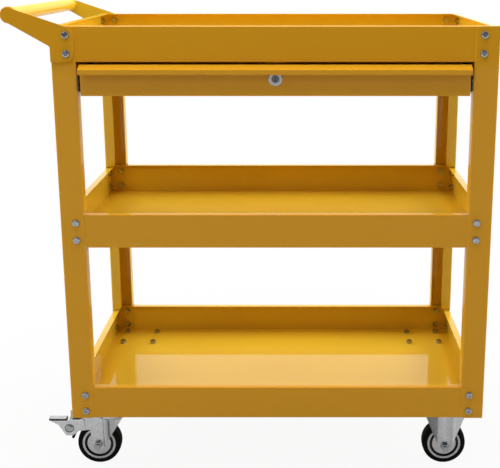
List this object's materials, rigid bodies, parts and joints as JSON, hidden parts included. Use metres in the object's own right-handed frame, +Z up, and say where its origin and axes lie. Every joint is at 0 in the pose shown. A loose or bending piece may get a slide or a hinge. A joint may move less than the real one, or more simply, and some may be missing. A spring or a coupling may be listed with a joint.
{
  "type": "tool trolley",
  "caption": "Open steel tool trolley: stacked lipped trays on corner posts, a locking drawer on ball slides under the top tray, a side push handle, swivel braked and rigid casters.",
  "frame": {"origin": "on the floor, under the middle of the whole object's box", "axes": "+Z up, +X along the length away from the handle, -Y out of the drawer's front"},
  "size_m": [0.7652, 0.418, 0.7835],
  "materials": {
    "yellow_paint": "satin yellow powder coat on folded sheet steel",
    "zinc_plate": "bright zinc plate",
    "hub_steel": "pressed steel, bright zinc plate",
    "ball_steel": "polished bearing steel",
    "lock_chrome": "bright nickel plate",
    "grey_plastic": "light grey moulded plastic",
    "tyre_rubber": "black moulded rubber",
    "pedal_rubber": "black moulded rubber"
  },
  "bodies": {
    "frame": {"post_front_left": "yellow_paint", "post_front_right": "yellow_paint", "post_rear_left": "yellow_paint", "post_rear_right": "yellow_paint", "top_tray": "yellow_paint", "middle_tray": "yellow_paint", "bottom_tray": "yellow_paint", "handle_arm_front": "yellow_paint", "handle_arm_rear": "yellow_paint", "handle_bar": "yellow_paint", "drawer_side_panels": "yellow_paint", "frame_screws": "zinc_plate", "frame_nuts": "zinc_plate", "drawer_rail_left": "zinc_plate", "drawer_rail_right": "zinc_plate", "rail_rivets": "zinc_plate", "lock_strike": "yellow_paint", "caster_bolts": "zinc_plate", "caster_nuts": "zinc_plate", "swivel_plate_front": "zinc_plate", "swivel_plate_rear": "zinc_plate", "kingpins": "zinc_plate", "swivel_balls": "ball_steel", "rigid_fork_front": "zinc_plate", "rigid_fork_rear": "zinc_plate", "rigid_axles": "zinc_plate"},
    "drawer": {"drawer_front": "yellow_paint", "drawer_box": "yellow_paint", "drawer_runner_left": "zinc_plate", "drawer_runner_right": "zinc_plate", "runner_rivets": "zinc_plate", "lock_barrel": "lock_chrome", "lock_nut": "zinc_plate"},
    "ball_cage_left": {"ball_cage_left": "ball_steel"},
    "ball_cage_right": {"ball_cage_right": "ball_steel"},
    "lock_core": {"lock_plug": "lock_chrome", "lock_cam": "zinc_plate", "lock_cam_screw": "zinc_plate"},
    "swivel_front": {"swivel_fork_front": "zinc_plate", "swivel_axle_front": "zinc_plate", "brake_pin_front": "zinc_plate"},
    "brake_front": {"brake_lever_front": "zinc_plate", "brake_rubber_front": "pedal_rubber"},
    "wheel_front_left": {"tyre_front_left": "tyre_rubber", "wheel_core_front_left": "grey_plastic", "wheel_hub_front_left": "hub_steel"},
    "wheel_front_right": {"tyre_front_right": "tyre_rubber", "wheel_core_front_right": "grey_plastic", "wheel_hub_front_right": "hub_steel"},
    "swivel_rear": {"swivel_fork_rear": "zinc_plate", "swivel_axle_rear": "zinc_plate", "brake_pin_rear": "zinc_plate"},
    "brake_rear": {"brake_lever_rear": "zinc_plate", "brake_rubber_rear": "pedal_rubber"},
    "wheel_rear_left": {"tyre_rear_left": "tyre_rubber", "wheel_core_rear_left": "grey_plastic", "wheel_hub_rear_left": "hub_steel"},
    "wheel_rear_right": {"tyre_rear_right": "tyre_rubber", "wheel_core_rear_right": "grey_plastic", "wheel_hub_rear_right": "hub_steel"}
  },
  "joints": [
    {"name": "drawer_slide", "type": "slide", "parent": "frame", "child": "drawer", "axis": [0, -1, 0], "range_m": [0, 0.25]},
    {"name": "cage_slide_left", "type": "slide", "parent": "frame", "child": "ball_cage_left", "axis": [0, -1, 0], "range_m": [0, 0.125]},
    {"name": "cage_slide_right", "type": "slide", "parent": "frame", "child": "ball_cage_right", "axis": [0, -1, 0], "range_m": [0, 0.125]},
    {"name": "lock_turn", "type": "hinge", "parent": "drawer", "child": "lock_core", "pos_m": [0.03435, -0.1938, 0.675], "axis": [0, 1, 0], "range_deg": [0, 90]},
    {"name": "caster_swivel_front", "type": "hinge", "parent": "frame", "child": "swivel_front", "pos_m": [-0.25365, -0.1468, 0.095], "axis": [0, 0, 1], "continuous": true},
    {"name": "brake_pedal_front", "type": "hinge", "parent": "swivel_front", "child": "brake_front", "pos_m": [-0.32465, -0.1468, 0.07], "axis": [0, -1, 0], "range_deg": [0, 16]},
    {"name": "wheel_spin_front_left", "type": "hinge", "parent": "swivel_front", "child": "wheel_front_left", "pos_m": [-0.27665, -0.1468, 0.0375], "axis": [0, 1, 0], "continuous": true},
    {"name": "wheel_spin_front_right", "type": "hinge", "parent": "frame", "child": "wheel_front_right", "pos_m": [0.32235, -0.1468, 0.0375], "axis": [0, 1, 0], "continuous": true},
    {"name": "caster_swivel_rear", "type": "hinge", "parent": "frame", "child": "swivel_rear", "pos_m": [-0.25365, 0.1532, 0.095], "axis": [0, 0, 1], "continuous": true},
    {"name": "brake_pedal_rear", "type": "hinge", "parent": "swivel_rear", "child": "brake_rear", "pos_m": [-0.32465, 0.1532, 0.07], "axis": [0, -1, 0], "range_deg": [0, 16]},
    {"name": "wheel_spin_rear_left", "type": "hinge", "parent": "swivel_rear", "child": "wheel_rear_left", "pos_m": [-0.27665, 0.1532, 0.0375], "axis": [0, 1, 0], "continuous": true},
    {"name": "wheel_spin_rear_right", "type": "hinge", "parent": "frame", "child": "wheel_rear_right", "pos_m": [0.32235, 0.1532, 0.0375], "axis": [0, 1, 0], "continuous": true}
  ],
  "couplings": [
    {"joint": "cage_slide_left", "follows": "drawer_slide", "ratio": 0.5},
    {"joint": "cage_slide_right", "follows": "drawer_slide", "ratio": 0.5}
  ]
}
